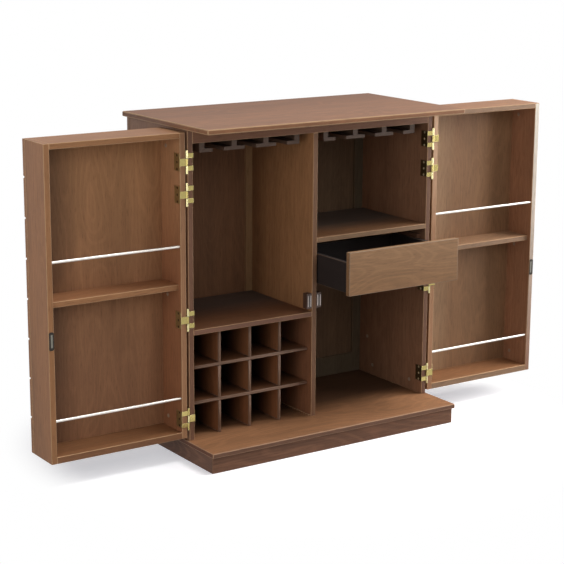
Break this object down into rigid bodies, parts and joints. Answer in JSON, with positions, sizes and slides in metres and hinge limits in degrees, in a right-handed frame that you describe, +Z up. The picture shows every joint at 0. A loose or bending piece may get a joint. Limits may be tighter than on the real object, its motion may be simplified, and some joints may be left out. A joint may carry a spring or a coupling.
{
  "type": "bar armoire",
  "caption": "Bar armoire in brown-stained wood with two box-shaped shelf doors, a bottle rack, hanging stemware rails, fixed shelves, a drawer and a low plinth.",
  "frame": {"origin": "on the floor, at the middle of the whole object's width and depth as pictured", "axes": "+X to the right as seen from the front, +Y to the back, +Z up"},
  "size_m": [1.625, 0.477, 0.914],
  "materials": {
    "walnut": "brown-stained veneer, satin lacquer",
    "walnut_light": "lighter brown-stained veneer, satin lacquer",
    "walnut_dark": "dark brown-stained wood, satin lacquer",
    "drawer_stain": "near-black stained drawer box, matt",
    "brass": "polished brass plate",
    "steel": "polished steel rod",
    "bronze": "dark bronze finish",
    "brown_plastic": "brown moulded housing"
  },
  "bodies": {
    "case": {"plinth": "walnut_dark", "base_board": "walnut_light", "side_left": "walnut", "side_right": "walnut", "centre_divider": "walnut", "front_rail": "walnut", "top_board": "walnut_light", "back": "walnut", "left_shelf": "walnut", "right_shelf": "walnut", "rack_upright_1": "walnut", "rack_upright_2": "walnut", "rack_upright_3": "walnut", "rack_shelf_lower": "walnut", "rack_shelf_upper": "walnut", "glass_rack_left": "walnut", "glass_rack_right": "walnut", "catch_left": "brown_plastic", "catch_right": "brown_plastic", "drawer_runner_left": "walnut_dark", "drawer_runner_right": "walnut_dark", "left_hinge_1_case_leaf": "brass", "left_hinge_2_case_leaf": "brass", "left_hinge_3_case_leaf": "brass", "left_hinge_4_case_leaf": "brass", "right_hinge_1_case_leaf": "brass", "right_hinge_2_case_leaf": "brass", "right_hinge_3_case_leaf": "brass", "right_hinge_4_case_leaf": "brass"},
    "left_door": {"left_hinge_1_door_leaf": "brass", "left_hinge_2_door_leaf": "brass", "left_hinge_3_door_leaf": "brass", "left_hinge_4_door_leaf": "brass", "left_door_free_stile": "walnut", "left_door_hinge_stile": "walnut", "left_door_top": "walnut", "left_door_bottom": "walnut", "left_door_shelf": "walnut", "left_door_panel": "walnut", "left_door_lower_rod": "steel", "left_door_upper_rod": "steel", "left_door_knob": "bronze"},
    "right_door": {"right_hinge_1_door_leaf": "brass", "right_hinge_2_door_leaf": "brass", "right_hinge_3_door_leaf": "brass", "right_hinge_4_door_leaf": "brass", "right_door_free_stile": "walnut", "right_door_hinge_stile": "walnut", "right_door_top": "walnut", "right_door_bottom": "walnut", "right_door_shelf": "walnut", "right_door_panel": "walnut", "right_door_lower_rod": "steel", "right_door_upper_rod": "steel", "right_door_knob": "bronze"},
    "drawer": {"drawer_front": "walnut_light", "drawer_side_left": "drawer_stain", "drawer_side_right": "drawer_stain", "drawer_back": "drawer_stain", "drawer_bottom": "drawer_stain"}
  },
  "joints": [
    {"name": "left_door_hinge", "type": "hinge", "parent": "case", "child": "left_door", "pos_m": [-0.4075, -0.0885, 0.48], "axis": [0, 0, -1], "range_deg": [-180, 0]},
    {"name": "right_door_hinge", "type": "hinge", "parent": "case", "child": "right_door", "pos_m": [0.4075, -0.0885, 0.48], "axis": [0, 0, 1], "range_deg": [-180, 0]},
    {"name": "drawer_slide", "type": "slide", "parent": "case", "child": "drawer", "axis": [0, -1, 0], "range_m": [-0.151, 0]}
  ],
  "couplings": [
    {"joint": "drawer_slide", "follows": "right_door_hinge", "m_per_rad": 0.04806}
  ]
}
